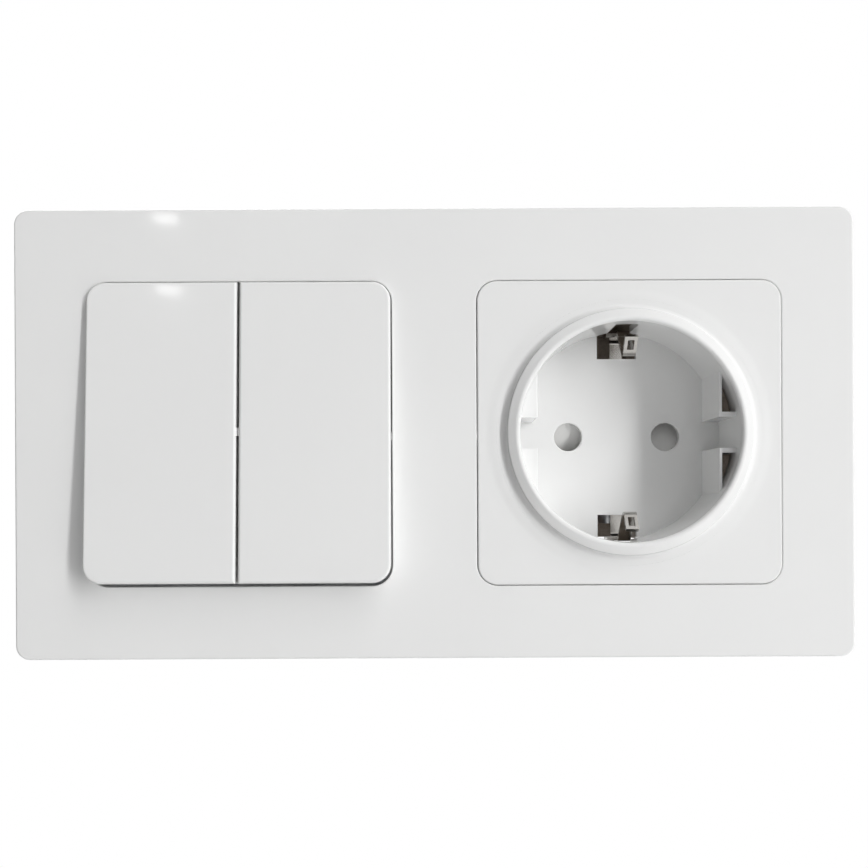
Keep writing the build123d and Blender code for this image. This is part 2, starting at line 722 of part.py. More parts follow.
# Socket cover: plate, collar and well in one, with keys, pin holes and snap arms
with BuildPart() as socket_cover:
    with BuildSketch(facing(socket_x, cover_rim_back)):
        RectangleRounded(cover_size, cover_size, cover_corner)
    extrude(amount=cover_front - cover_rim_back)
    fillet(socket_cover.faces().sort_by(Axis.Y)[0].edges(), cover_edge)
    with BuildSketch(facing(socket_x, cover_rim_back)):
        inner_size = cover_size - 2 * window_skirt
        RectangleRounded(inner_size, inner_size, cover_corner - window_skirt)
    extrude(amount=cover_back - cover_rim_back, mode=Mode.SUBTRACT)
    with BuildSketch(facing(socket_x, cover_back)):
        Circle(collar_foot)
    extrude(amount=cover_sheet, mode=Mode.SUBTRACT)
    with BuildSketch(level(socket_x)) as section:
        with BuildLine():
            Polyline(
                (0, floor_front),
                (well_radius, floor_front),
                (well_radius, crest),
                (crest_edge, crest),
                (crest_outer, crest - crest_drop),
                (collar_foot, cover_front + collar_step),
                (collar_edge, cover_front + collar_step),
                (collar_edge, cover_back),
                (well_outer, cover_back),
                (well_outer, floor_back),
                (0, floor_back),
                close=True,
            )
        make_face()
        inner_corner = section.vertices().sort_by_distance((well_radius, crest, 0))[0]
        fillet(inner_corner, crest_inner_round)
        land_corner = section.vertices().sort_by_distance((crest_edge, crest, 0))[0]
        fillet(land_corner, crest_land_round)
        outer_corner = section.vertices().sort_by_distance((crest_outer, crest - crest_drop, 0))[0]
        fillet(outer_corner, crest_outer_round)
        foot_corner = section.vertices().sort_by_distance((collar_foot, cover_front, 0))[0]
        fillet(foot_corner, collar_cove)
    revolve(axis=Axis((socket_x, 0, 0), (0, 1, 0)))
    for side in (-1, 1):
        with BuildSketch(facing(socket_x, floor_front)):
            Circle(well_radius + well_wall / 2)
            with Locations((side * (key_flat + well_radius), 0)):
                Rectangle(2 * well_radius, 2 * well_radius, mode=Mode.INTERSECT)
            Rectangle(3 * well_radius, key_slot, mode=Mode.SUBTRACT)
        extrude(amount=key_height)
        with BuildSketch(facing(socket_x, floor_back)):
            key_hollow(side, 0)
        pocket_height = well_floor + key_height
        if side < 0:
            pocket_height = pocket_height - key_roof
        extrude(amount=pocket_height, mode=Mode.SUBTRACT)
    key_lines = socket_cover.edges().filter_by(Axis.Z).filter_by_position(Axis.Y, -key_top - 0.01, -key_top + 0.01)
    key_lines = key_lines.filter_by(lambda edge: abs(abs(edge.center().X - socket_x) - key_flat) < 0.01)
    fillet(key_lines, key_edge)
    with BuildSketch(facing(socket_x, floor_back)):
        with Locations((-pin_spacing / 2, 0), (pin_spacing / 2, 0)):
            Circle(pin_hole)
    extrude(amount=well_floor, mode=Mode.SUBTRACT)
    floor_circles = socket_cover.edges().filter_by(GeomType.CIRCLE).filter_by_position(
        Axis.Y, -floor_front - 0.01, -floor_front + 0.01
    )
    fillet(floor_circles.filter_by(lambda edge: abs(edge.radius - pin_hole) < 0.01), pin_edge)
    for way in (-1, 1):
        with BuildSketch(facing(socket_x, floor_back)):
            with Locations((0, way * (notch_inner + well_radius / 2))):
                Rectangle(notch_floor_width, well_radius)
        extrude(amount=well_floor, mode=Mode.SUBTRACT)
        with BuildSketch(upright(socket_x, 0, way * (well_radius - notch_shoulder), way)):
            with BuildLine():
                Polyline(
                    (-notch_floor_width / 2, -way * floor_front),
                    (notch_floor_width / 2, -way * floor_front),
                    (notch_floor_width / 2, -way * (floor_front + notch_shoulder)),
                    (notch_width / 2, -way * (floor_front + notch_shoulder + notch_taper)),
                    (notch_width / 2, -way * (floor_front + notch_height)),
                    (-notch_width / 2, -way * (floor_front + notch_height)),
                    (-notch_width / 2, -way * (floor_front + notch_shoulder + notch_taper)),
                    (-notch_floor_width / 2, -way * (floor_front + notch_shoulder)),
                    close=True,
                )
            make_face()
        extrude(amount=well_wall + 2 * notch_shoulder, mode=Mode.SUBTRACT)
    with BuildSketch(facing(socket_x, shutter_back)):
        Circle(stud_radius)
    extrude(amount=floor_back - shutter_back)
    stop_offset = shutter_half + stop_play + stop_sheet / 2
    stop_place = shutter_reach - stop_inset
    open_x = stop_place * cos(radians(shutter_turn)) - stop_offset * sin(radians(shutter_turn))
    open_z = stop_place * sin(radians(shutter_turn)) + stop_offset * cos(radians(shutter_turn))
    with BuildSketch(facing(socket_x, floor_back - stop_height)):
        for side in (-1, 1):
            with Locations((side * stop_place, side * stop_offset)):
                Rectangle(stop_length, stop_sheet)
            with Locations(Location((side * open_x, -side * open_z), -shutter_turn)):
                Rectangle(stop_length, stop_sheet)
    extrude(amount=stop_height)
    hook_front = cup_front - lip_height - arm_play
    for side in (-1, 1):
        arm_inner = cup_outer + lip_reach + arm_play
        with BuildSketch(facing(socket_x, hook_front - lip_height)):
            with Locations((side * (arm_inner + arm_sheet / 2), 0)):
                Rectangle(arm_sheet, arm_width)
        extrude(amount=cover_back - hook_front + lip_height)
        with BuildSketch(facing(socket_x, hook_front - lip_height)):
            with Locations((side * (arm_inner - arm_catch / 2), 0)):
                Rectangle(arm_catch, arm_width)
        extrude(amount=lip_height)

# Shutter: a rotor on the cover's stud, with a ramped arm under each pin hole
with BuildPart() as shutter:
    with BuildSketch(facing(socket_x, shutter_back)):
        Circle(shutter_reach)
        Rectangle(2 * shutter_reach, 2 * shutter_half, mode=Mode.INTERSECT)
        Circle(hub_radius)
        Circle(stud_radius + hub_play, mode=Mode.SUBTRACT)
    extrude(amount=shutter_sheet)
    with BuildSketch(facing(socket_x, shutter_back)):
        Circle(spring_well_radius)
    extrude(amount=spring_well_depth, mode=Mode.SUBTRACT)
    for side in (-1, 1):
        with BuildSketch(sideways(socket_x + side * pin_spacing / 2)):
            with BuildLine():
                Polyline(
                    (-side * (shutter_half - shutter_margin), shutter_front),
                    (side * shutter_half, shutter_front),
                    (side * shutter_half, shutter_front - ramp_depth),
                    close=True,
                )
            make_face()
        extrude(amount=ramp_width / 2, both=True, mode=Mode.SUBTRACT)

# Shutter spring: a flat coil round the stud that turns the shutter closed
with BuildPart() as shutter_spring:
    spring_height = spring_well_depth - 2 * shutter_wire
    spring_start = Plane(
        origin=(socket_x, -(shutter_back + shutter_wire), 0),
        x_dir=(1, 0, 0),
        z_dir=(0, -1, 0),
    )
    with BuildLine() as spring_path:
        Helix(
            spring_height / shutter_turns,
            spring_height,
            shutter_spring_radius,
            center=spring_start.origin,
            direction=spring_start.z_dir,
        )
    spring_outward = spring_path.line @ 0 - spring_start.origin
    with BuildSketch(Plane(origin=spring_path.line @ 0, x_dir=spring_outward, z_dir=spring_path.line % 0)):
        Rectangle(shutter_wire, shutter_wire)
    sweep(path=spring_path.line, is_frenet=True)

# Socket base: a cup around the well, its body behind, with pockets for the contacts
socket_access = (tulip_bottom + tulip_terminal) / 2
earth_access = strap_back + earth_sheet / 2 - terminal_height / 2
earth_foot = earth_access - terminal_height / 2
with BuildPart() as socket_base:
    with BuildSketch(facing(socket_x, socket_back)):
        Circle(cup_outer)
        Rectangle(2 * cup_outer, socket_flats, mode=Mode.INTERSECT)
    extrude(amount=deck - socket_back)
    with BuildSketch(facing(socket_x, deck)):
        Circle(cup_outer)
        Circle(cup_inner, mode=Mode.SUBTRACT)
    extrude(amount=cup_front - deck)
    with BuildSketch(facing(socket_x, deck - 2.0)):
        Circle(cup_outer)
        Rectangle(2 * cup_outer, socket_flats, mode=Mode.SUBTRACT)
    extrude(amount=2.0)
    with BuildSketch(facing(socket_x, plate_back - flange_sheet)):
        flange_sketch(socket_fixing)
        Circle(cup_inner, mode=Mode.SUBTRACT)
    extrude(amount=flange_sheet)
    with BuildSketch(facing(socket_x, plate_back - flange_sheet)):
        with fixing_grid(socket_fixing):
            Circle(fixing_shank)
    extrude(amount=flange_sheet, mode=Mode.SUBTRACT)
    with BuildSketch(facing(socket_x, cup_front - lip_height)):
        with Locations((-cup_outer, 0), (cup_outer, 0)):
            Rectangle(2 * lip_reach, arm_width + 2 * opening_clearance)
    extrude(amount=lip_height)
    pocket_half = tulip_width / 2 + pocket_play
    pocket_start = -tulip_mouth - tulip_sheet - pocket_play
    for place in (-pin_spacing / 2, pin_spacing / 2):
        with BuildSketch(facing(socket_x + place, tulip_bottom)):
            with Locations((0, (pocket_start + terminal_face) / 2)):
                Rectangle(2 * pocket_half, terminal_face - pocket_start)
            with Locations((0, terminal_place + cup_outer / 2)):
                Rectangle(terminal_width + 2 * pocket_play, cup_outer)
        extrude(amount=deck - tulip_bottom, mode=Mode.SUBTRACT)
        wire_line = terminal_face + wire_window / 2
        with BuildSketch(facing(socket_x + place, socket_back)):
            with Locations((-wire_place, wire_line), (wire_place, wire_line)):
                Rectangle(wire_window, wire_window)
        extrude(amount=base_floor, mode=Mode.SUBTRACT)
    with BuildSketch(facing(socket_x, strap_back)):
        channel = 2 * (earth_leg + earth_sheet / 2 + earth_channel_play)
        Rectangle(earth_strap_width + 2 * earth_channel_play, channel)
    extrude(amount=deck - strap_back, mode=Mode.SUBTRACT)
    with BuildSketch(facing(socket_x, deck)):
        key_hollow(1, key_lug_play)
    extrude(amount=key_top - key_lug_drop - deck)
    with BuildSketch(facing(socket_x, earth_foot)):
        with Locations((0, -terminal_place - cup_outer / 2)):
            Rectangle(terminal_width + 2 * pocket_play, cup_outer)
        with Locations((0, -terminal_place)):
            Rectangle(2 * (screw_radius + pocket_play), 2 * (screw_length - clamp_sheet))
    extrude(amount=deck - earth_foot, mode=Mode.SUBTRACT)


def tulip_contact(side):
    """A sprung pin contact bent from strip, with its screw terminal."""
    middle = socket_x + side * pin_spacing / 2
    foot = tulip_bottom + tulip_sheet / 2
    throat = tulip_top - tulip_throat
    with BuildPart() as contact:
        with BuildSketch(sideways(middle)):
            with BuildLine() as leaf:
                Polyline((-tulip_mouth, tulip_top), (-tulip_pinch, throat), (-tulip_foot, foot), (terminal_face, foot))
            trace(leaf.line, tulip_sheet)
            with BuildLine() as other_leaf:
                Polyline((tulip_foot, foot), (tulip_pinch, throat), (tulip_mouth, tulip_top))
            trace(other_leaf.line, tulip_sheet)
        extrude(amount=tulip_width / 2, both=True)
        with BuildSketch(upright(middle, socket_access, terminal_place, 1)):
            Rectangle(terminal_width, terminal_height)
            Circle(screw_radius, mode=Mode.SUBTRACT)
        extrude(amount=strip_sheet)
    return contact


contact_line = tulip_contact(-1)
contact_neutral = tulip_contact(1)

# Earth bracket: one strap across the base with a sprung clip at each end and a screw terminal
with BuildPart() as earth_bracket:
    strap_middle = strap_back + earth_sheet / 2
    for way in (-1, 1):
        with BuildSketch(sideways(socket_x)):
            with BuildLine() as clip_path:
                FilletPolyline(
                    (0, strap_middle),
                    (way * earth_leg, strap_middle),
                    (way * earth_leg, floor_front + earth_bend_height),
                    (way * earth_tip, floor_front + earth_tip_height),
                    (way * earth_end, floor_front + earth_end_height),
                    radius=earth_round,
                )
            trace(clip_path.line, earth_sheet)
        extrude(amount=earth_width / 2, both=True)
        with BuildSketch(facing(socket_x, floor_front + earth_tab_top)):
            with Locations((earth_finger_start - earth_width / 2, way * earth_leg)):
                Rectangle(earth_width, 2 * (earth_leg - earth_strap_end))
        extrude(amount=earth_end_height, mode=Mode.SUBTRACT)
        with BuildSketch(facing(socket_x, strap_back)):
            with Locations((earth_finger_start - earth_width / 2, way * earth_leg)):
                Rectangle(earth_width, 2 * (earth_leg - earth_strap_end))
        extrude(amount=floor_front + earth_tab_top - earth_tab_length - strap_back, mode=Mode.SUBTRACT)
        finger_middle = (earth_finger_start + earth_width / 2) / 2
        with BuildSketch(facing(socket_x, floor_front + earth_bend_height)):
            with Locations((finger_middle, way * (well_radius - (earth_slot_start + earth_slot_end) / 2))):
                Rectangle(earth_slot_width, earth_slot_end - earth_slot_start)
        extrude(amount=earth_end_height, mode=Mode.SUBTRACT)
    with BuildSketch(facing(socket_x, strap_back)):
        Rectangle(earth_strap_width, 2 * earth_strap_end)
    extrude(amount=earth_sheet)
    with BuildSketch(upright(socket_x, earth_access, -terminal_place, -1)):
        Rectangle(terminal_width, terminal_height)
        Circle(screw_radius, mode=Mode.SUBTRACT)
    extrude(amount=strip_sheet)

socket_terminals = [
    (socket_x - pin_spacing / 2, socket_access, 1),
    (socket_x + pin_spacing / 2, socket_access, 1),
    (socket_x, earth_access, -1),
]
socket_clamps = clamp_plates(socket_terminals)
socket_screws = terminal_screws(socket_terminals)

frame.part.label = "frame"
export_step(frame.part, "parts/frame.step")
switch_plate.part.label = "switch_plate"
export_step(switch_plate.part, "parts/switch_plate.step")
socket_plate.part.label = "socket_plate"
export_step(socket_plate.part, "parts/socket_plate.step")
rocker_left.part.label = "rocker_left"
export_step(rocker_left.part, "parts/rocker_left.step")
rocker_right.part.label = "rocker_right"
export_step(rocker_right.part, "parts/rocker_right.step")
toggle_left.part.label = "toggle_left"
export_step(toggle_left.part, "parts/toggle_left.step")
toggle_right.part.label = "toggle_right"
export_step(toggle_right.part, "parts/toggle_right.step")
plunger_left.part.label = "plunger_left"
export_step(plunger_left.part, "parts/plunger_left.step")
plunger_right.part.label = "plunger_right"
export_step(plunger_right.part, "parts/plunger_right.step")
spring_left.part.label = "spring_left"
export_step(spring_left.part, "parts/spring_left.step")
spring_right.part.label = "spring_right"
export_step(spring_right.part, "parts/spring_right.step")
switch_bridge.part.label = "switch_bridge"
export_step(switch_bridge.part, "parts/switch_bridge.step")
switch_base.part.label = "switch_base"
export_step(switch_base.part, "parts/switch_base.step")
contact_left.part.label = "contact_left"
export_step(contact_left.part, "parts/contact_left.step")
contact_right.part.label = "contact_right"
export_step(contact_right.part, "parts/contact_right.step")
common_terminal.part.label = "common_terminal"
export_step(common_terminal.part, "parts/common_terminal.step")
output_left.part.label = "output_left"
export_step(output_left.part, "parts/output_left.step")
output_right.part.label = "output_right"
export_step(output_right.part, "parts/output_right.step")
switch_clamps.part.label = "switch_clamps"
export_step(switch_clamps.part, "parts/switch_clamps.step")
switch_screws.part.label = "switch_screws"
export_step(switch_screws.part, "parts/switch_screws.step")
bridge_fixings.part.label = "bridge_fixings"
export_step(bridge_fixings.part, "parts/bridge_fixings.step")
socket_cover.part.label = "socket_cover"
export_step(socket_cover.part, "parts/socket_cover.step")
shutter.part.label = "shutter"
export_step(shutter.part, "parts/shutter.step")
shutter_spring.part.label = "shutter_spring"
export_step(shutter_spring.part, "parts/shutter_spring.step")
socket_base.part.label = "socket_base"
export_step(socket_base.part, "parts/socket_base.step")
contact_line.part.label = "contact_line"
export_step(contact_line.part, "parts/contact_line.step")
contact_neutral.part.label = "contact_neutral"
export_step(contact_neutral.part, "parts/contact_neutral.step")
earth_bracket.part.label = "earth_bracket"
export_step(earth_bracket.part, "parts/earth_bracket.step")
socket_clamps.part.label = "socket_clamps"
export_step(socket_clamps.part, "parts/socket_clamps.step")
socket_screws.part.label = "socket_screws"
export_step(socket_screws.part, "parts/socket_screws.step")
socket_fixings.part.label = "socket_fixings"
export_step(socket_fixings.part, "parts/socket_fixings.step")
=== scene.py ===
# %% [markdown]
# # A double rocker switch beside an earthed socket
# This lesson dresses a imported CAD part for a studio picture. The part is a white
# wall frame that holds two inserts: a switch with two rockers on the left, and a
# round socket with a deep plug well on the right. Every solid comes from the CAD
# frame already in its place, in metres, so the lesson is about finishes, one thin
# ring that softens a step, light, and a camera that matches a straight-on product
# photograph.

# %% Load the fixed frame
import json
from math import cos, pi, radians, sin

import bpy
from mathutils import Matrix, Vector


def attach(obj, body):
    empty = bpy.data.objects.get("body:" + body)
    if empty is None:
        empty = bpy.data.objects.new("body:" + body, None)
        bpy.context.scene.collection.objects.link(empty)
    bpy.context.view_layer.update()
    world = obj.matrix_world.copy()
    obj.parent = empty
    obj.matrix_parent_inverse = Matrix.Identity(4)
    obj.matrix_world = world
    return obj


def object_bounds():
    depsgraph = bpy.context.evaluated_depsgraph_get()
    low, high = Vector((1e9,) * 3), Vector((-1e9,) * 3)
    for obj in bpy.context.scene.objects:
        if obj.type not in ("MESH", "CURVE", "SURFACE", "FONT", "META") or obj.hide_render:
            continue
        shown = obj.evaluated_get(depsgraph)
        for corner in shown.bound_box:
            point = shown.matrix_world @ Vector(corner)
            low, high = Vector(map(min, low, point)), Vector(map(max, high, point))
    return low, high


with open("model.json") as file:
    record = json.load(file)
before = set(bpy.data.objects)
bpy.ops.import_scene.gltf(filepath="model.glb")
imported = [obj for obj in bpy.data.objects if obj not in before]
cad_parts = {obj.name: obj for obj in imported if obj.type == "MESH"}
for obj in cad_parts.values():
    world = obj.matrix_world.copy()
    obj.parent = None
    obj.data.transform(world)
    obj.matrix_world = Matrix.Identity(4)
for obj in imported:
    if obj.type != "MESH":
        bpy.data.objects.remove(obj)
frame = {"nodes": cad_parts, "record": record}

cad_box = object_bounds()
nodes = frame["nodes"]
scene = bpy.context.scene
mm = 0.001
print("loaded", len(nodes), "nodes, box", [tuple(round(v, 4) for v in c) for c in cad_box])

# %% [markdown]
# ## A bare finish
# Every finish of this part is one Principled shader with a few nodes hung on it. A
# new material could be edited from Blender's default tree, but a cleared tree with
# only the shader and its output is the same on every machine, so a helper makes that.

# %% Bare finish
def new_finish(name):
    """A material with an empty tree apart from a Principled shader and its output."""
    material = bpy.data.materials.new(name)
    material.use_nodes = True
    tree = material.node_tree
    tree.nodes.clear()
    shader = tree.nodes.new("ShaderNodeBsdfPrincipled")
    output = tree.nodes.new("ShaderNodeOutputMaterial")
    tree.links.new(shader.outputs["BSDF"], output.inputs["Surface"])
    return material, tree, shader


print("bare finish ready")

# %% [markdown]
# ## Noise and spans
# A moulded or stamped surface is never one flat number: its colour drifts a little
# over centimetres, its gloss over millimetres, and it has a fine skin. Painted maps
# would need unwrapping. Noise in object space needs none and keeps its scale in
# metres, and a Map Range node turns it into any span of values.

# %% Noise and spans
def noise(tree, size, detail=2.0, stretch=(1, 1, 1)):
    """Noise whose features are about this many metres across."""
    place = tree.nodes.new("ShaderNodeTexCoord")
    scale = tree.nodes.new("ShaderNodeMapping")
    scale.inputs["Scale"].default_value = stretch
    grain = tree.nodes.new("ShaderNodeTexNoise")
    grain.inputs["Scale"].default_value = 1 / size
    grain.inputs["Detail"].default_value = detail
    tree.links.new(place.outputs["Object"], scale.inputs["Vector"])
    tree.links.new(scale.outputs["Vector"], grain.inputs["Vector"])
    return grain.outputs["Fac"]


def spanned(tree, value, start, stop, low, high, curve="LINEAR"):
    """A factor that goes from low to high while a value goes from start to stop."""
    span = tree.nodes.new("ShaderNodeMapRange")
    span.interpolation_type = curve
    span.inputs["From Min"].default_value = start
    span.inputs["From Max"].default_value = stop
    span.inputs["To Min"].default_value = low
    span.inputs["To Max"].default_value = high
    tree.links.new(value, span.inputs["Value"])
    return span.outputs["Result"]


print("noise and spans ready")

# %% [markdown]
# ## Colour, gloss and skin
# Three short helpers hang the noise on the shader: one lets the base colour drift
# between two tones, one lets the roughness wander, and one raises a fine skin by
# bump. With them each finish below is only a list of sizes and tones.

# %% Colour, gloss and skin
tone_band = (0.35, 0.65)
gloss_band = (0.3, 0.7)


def tint(tree, shader, drift, dark, light):
    """Lets the base colour drift between two tones with a noise."""
    ramp = tree.nodes.new("ShaderNodeValToRGB")
    for stop, position, tone in zip(ramp.color_ramp.elements, tone_band, (dark, light)):
        stop.position = position
        stop.color = (*tone, 1)
    tree.links.new(drift, ramp.inputs["Fac"])
    tree.links.new(ramp.outputs["Color"], shader.inputs["Base Color"])


def gloss(tree, shader, drift, low, high):
    """Lets the roughness drift between two values with a noise."""
    tree.links.new(spanned(tree, drift, *gloss_band, low, high), shader.inputs["Roughness"])


def skin(tree, shader, grain, height, strength):
    """Raises a fine skin of this height, in metres, on the surface."""
    bump = tree.nodes.new("ShaderNodeBump")
    bump.inputs["Distance"].default_value = height
    bump.inputs["Strength"].default_value = strength
    tree.links.new(grain, bump.inputs["Height"])
    tree.links.new(bump.outputs["Normal"], shader.inputs["Normal"])


print("colour, gloss and skin ready")

# %% [markdown]
# ## White plastics
# The frame, the rockers and the socket cover are moulded in a glossy white
# thermoplastic. Straight from a polished tool it is almost a mirror with a very
# soft orange peel, and where hands touch it the gloss goes a little dull. A near
# white base with a faint drift, a low roughness that wanders and a skin a few
# thousandths of a millimetre high give that. The white stays below 0.9, because
# no real plastic returns all the light. The shutter behind the pin holes is a
# creamier, satin white with a coarser skin, as hidden pieces are.

# %% White finishes
def white_cover():
    material, tree, shader = new_finish("white_cover")
    tint(tree, shader, noise(tree, 30 * mm),
         dark=(0.846, 0.848, 0.844), light=(0.859, 0.861, 0.856))
    gloss(tree, shader, noise(tree, 20 * mm, detail=1), low=0.060, high=0.080)
    skin(tree, shader, noise(tree, 3 * mm, detail=1), height=0.002 * mm, strength=0.15)
    shader.inputs["IOR"].default_value = 1.5
    return material


def shutter_white():
    material, tree, shader = new_finish("shutter_white")
    tint(tree, shader, noise(tree, 6 * mm),
         dark=(0.770, 0.768, 0.755), light=(0.800, 0.798, 0.785))
    gloss(tree, shader, noise(tree, 2 * mm, detail=4), low=0.38, high=0.50)
    skin(tree, shader, noise(tree, 0.4 * mm, detail=3), height=0.006 * mm, strength=0.3)
    return material


print("white finishes ready")

# %% [markdown]
# ## Grey and dark plastics of the inside
# The toggles, plungers and the bearing plate behind the rockers are a pale grey
# nylon, slightly waxy. The two bases that sit in the wall are a brown thermoset
# with a matt skin and tiny pale flecks of filler. The flecks come from a noise
# half a millimetre across with a lot of detail.

# %% Inside plastics
def nylon_grey():
    material, tree, shader = new_finish("nylon_grey")
    tint(tree, shader, noise(tree, 8 * mm), dark=(0.50, 0.50, 0.48), light=(0.56, 0.56, 0.54))
    gloss(tree, shader, noise(tree, 2 * mm, detail=4), low=0.40, high=0.55)
    skin(tree, shader, noise(tree, 0.6 * mm, detail=3), height=0.01 * mm, strength=0.3)
    return material


def dark_base():
    material, tree, shader = new_finish("dark_base")
    tint(tree, shader, noise(tree, 0.5 * mm, detail=5),
         dark=(0.200, 0.165, 0.132), light=(0.260, 0.218, 0.178))
    gloss(tree, shader, noise(tree, 3 * mm, detail=4), low=0.50, high=0.68)
    skin(tree, shader, noise(tree, 0.5 * mm, detail=4), height=0.02 * mm, strength=0.4)
    return material


print("inside plastics ready")

# %% [markdown]
# ## Metals
# The support plates, screws, clamps and springs are steel with a bluish zinc
# plating, which shows faint spangles and a rolling direction. Contacts are bare
# brass with darker, duller patches. The earth clips in the plug well are nickel
# plated and smoother. Each is a metallic shader with stretched or patchy noise.

# %% Metal finishes
def metal(name):
    """A bare finish whose shader is metallic."""
    material, tree, shader = new_finish(name)
    shader.inputs["Metallic"].default_value = 1.0
    return material, tree, shader


def zinc_steel():
    material, tree, shader = metal("zinc_steel")
    tint(tree, shader, noise(tree, 3 * mm, detail=3),
         dark=(0.56, 0.57, 0.59), light=(0.68, 0.69, 0.70))
    rolled = noise(tree, 1.5 * mm, detail=4, stretch=(0.15, 1, 1))
    gloss(tree, shader, rolled, low=0.28, high=0.44)
    drawn = noise(tree, 0.6 * mm, detail=3, stretch=(0.1, 1, 1))
    skin(tree, shader, drawn, height=0.008 * mm, strength=0.3)
    return material


def bare_brass():
    material, tree, shader = metal("bare_brass")
    tint(tree, shader, noise(tree, 4 * mm, detail=5),
         dark=(0.62, 0.43, 0.17), light=(0.80, 0.60, 0.28))
    gloss(tree, shader, noise(tree, 2 * mm, detail=4), low=0.24, high=0.42)
    drawn = noise(tree, 0.5 * mm, detail=3, stretch=(1, 1, 0.2))
    skin(tree, shader, drawn, height=0.008 * mm, strength=0.3)
    return material


def nickel_clip():
    material, tree, shader = metal("nickel_clip")
    tint(tree, shader, noise(tree, 4 * mm, detail=3),
         dark=(0.46, 0.445, 0.42), light=(0.54, 0.525, 0.50))
    gloss(tree, shader, noise(tree, 2 * mm, detail=4), low=0.16, high=0.28)
    drawn = noise(tree, 0.4 * mm, detail=3, stretch=(0.2, 1, 1))
    skin(tree, shader, drawn, height=0.005 * mm, strength=0.3)
    return material


print("metal finishes ready")

# %% [markdown]
# ## Put each finish on its nodes
# The record names a material slot for every node. The slot is the natural key for
# the finish, so a small table joins the two and one loop dresses the whole part.
# The meshes carry the CAD's own normals, so curved faces are smooth without any
# change to them.

# %% Dress the nodes
finishes = {
    "white_plastic": white_cover(),
    "shutter_plastic": shutter_white(),
    "toggle_plastic": nylon_grey(),
    "base_plastic": dark_base(),
    "steel": zinc_steel(),
    "brass": bare_brass(),
    "nickel": nickel_clip(),
}
subparts = frame["record"]["subparts"]
for part in subparts:
    mesh = nodes[part["node"]].data
    mesh.materials.clear()
    mesh.materials.append(finishes[part["material_slot"]])
print("dressed", len(subparts), "nodes with", len(finishes), "finishes")

# %% [markdown]
# ## Soft foot of the collar
# On the real cover the collar does not end in a sharp step. Its foot runs out over
# a millimetre or two, so the plate seems to rise towards it. The CAD cover has the
# plain step, a tenth of a millimetre high. A thin ring fills the corner of that
# step with half a cosine wave, level with the step inside and with the plate
# outside. A bevel could not do this without changing the CAD mesh. A hair's width
# of air keeps the ring off the cover's faces, so that no two faces lie in one place.

# %% Outline of the collar foot
step_radius = 24.25 * mm
step_height = 0.12 * mm
run_out = 2.0 * mm
blunt_edge = 0.005 * mm
hair = 0.0005 * mm
wave_points = 13


def foot_outline():
    """Radius and height along the ring: its wave from inside out, then its flat base."""
    inside = step_radius + hair
    wave_height = step_height - blunt_edge - hair
    outline = []
    for i in range(wave_points):
        along = i / (wave_points - 1)
        height = blunt_edge + wave_height * (1 + cos(pi * along)) / 2
        outline.append((inside + run_out * along, height))
    return outline + [(inside + run_out, hair), (inside, hair)]


outline = foot_outline()
print("outline of", len(outline), "points, out to", round(max(outline)[0] / mm, 2), "mm")

# %% [markdown]
# A lathe is enough to make the ring: the outline is turned about the plug well's
# axis, and each point is joined to its neighbours. The screw modifier could turn it
# too, but plain points and faces show how such a mesh is put together.

# %% Turn the collar foot
well_x = 35.5 * mm
plate_front = 9.2 * mm
turns = 240


def turned(outline):
    """Points and four-sided faces of an outline turned about the plug well's axis."""
    count = len(outline)
    points, faces = [], []
    for turn in range(turns):
        angle = 2 * pi * turn / turns
        here, there = turn * count, (turn + 1) % turns * count
        for i, (radius, height) in enumerate(outline):
            after = (i + 1) % count
            points.append((well_x + radius * cos(angle), -plate_front - height,
                           radius * sin(angle)))
            faces.append((here + i, here + after, there + after, there + i))
    return points, faces


points, faces = turned(outline)
foot_mesh = bpy.data.meshes.new("collar_foot")
foot_mesh.from_pydata(points, [], faces)
print("collar foot has", len(points), "points and", len(faces), "faces")

# %% [markdown]
# The wave is shaded smooth and its rims stay sharp. The ring wears the cover's own
# finish and rides on the housing, as the cover does.

# %% Place the collar foot
sharp_rim = radians(40)
foot_mesh.shade_smooth()
foot_mesh.set_sharp_from_angle(angle=sharp_rim)
foot_mesh.materials.append(finishes["white_plastic"])
collar_foot = bpy.data.objects.new("collar_foot", foot_mesh)
scene.collection.objects.link(collar_foot)
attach(collar_foot, "housing")
wave_face = foot_mesh.polygons[wave_points // 2]
print("the wave of the collar foot looks along", [round(v, 2) for v in wave_face.normal])

# %% [markdown]
# ## Camera
# The photograph looks straight at the front from about 0.2 m. Its edges give the
# rest: the frame's height in the picture against its real height fixes the focal
# length, and the way the side walls show below and beside the covers fixes where
# the lens axis meets the object. The picture is a crop whose centre is not that
# axis, so the camera gets a small shift instead of a tilt, and a roll of a quarter
# degree because the object was not quite level.

# %% Lens
picture_px = 868
focal_px = 1050.0
axis_px = (439.0, 502.2)
sensor_mm = 36.0

camera_data = bpy.data.cameras.new("photo_camera")
camera_data.sensor_width = sensor_mm
camera_data.lens = focal_px / picture_px * sensor_mm
camera_data.shift_x = (picture_px / 2 - axis_px[0]) / picture_px
camera_data.shift_y = (axis_px[1] - picture_px / 2) / picture_px
camera_data.clip_start = 10 * mm
print("lens", round(camera_data.lens, 2), "mm, shift",
      round(camera_data.shift_x, 4), round(camera_data.shift_y, 4))

# %% Camera place
lens_place = Vector((0.00076, -0.2002, -0.01256))
roll = radians(-0.28)

camera = bpy.data.objects.new("photo_camera", camera_data)
scene.collection.objects.link(camera)
level_view = Matrix.Rotation(pi / 2, 4, "X") @ Matrix.Rotation(roll, 4, "Z")
camera.matrix_world = Matrix.Translation(lens_place) @ level_view
scene.camera = camera
print("camera stands", round(-lens_place.y, 3), "m in front of the wall")

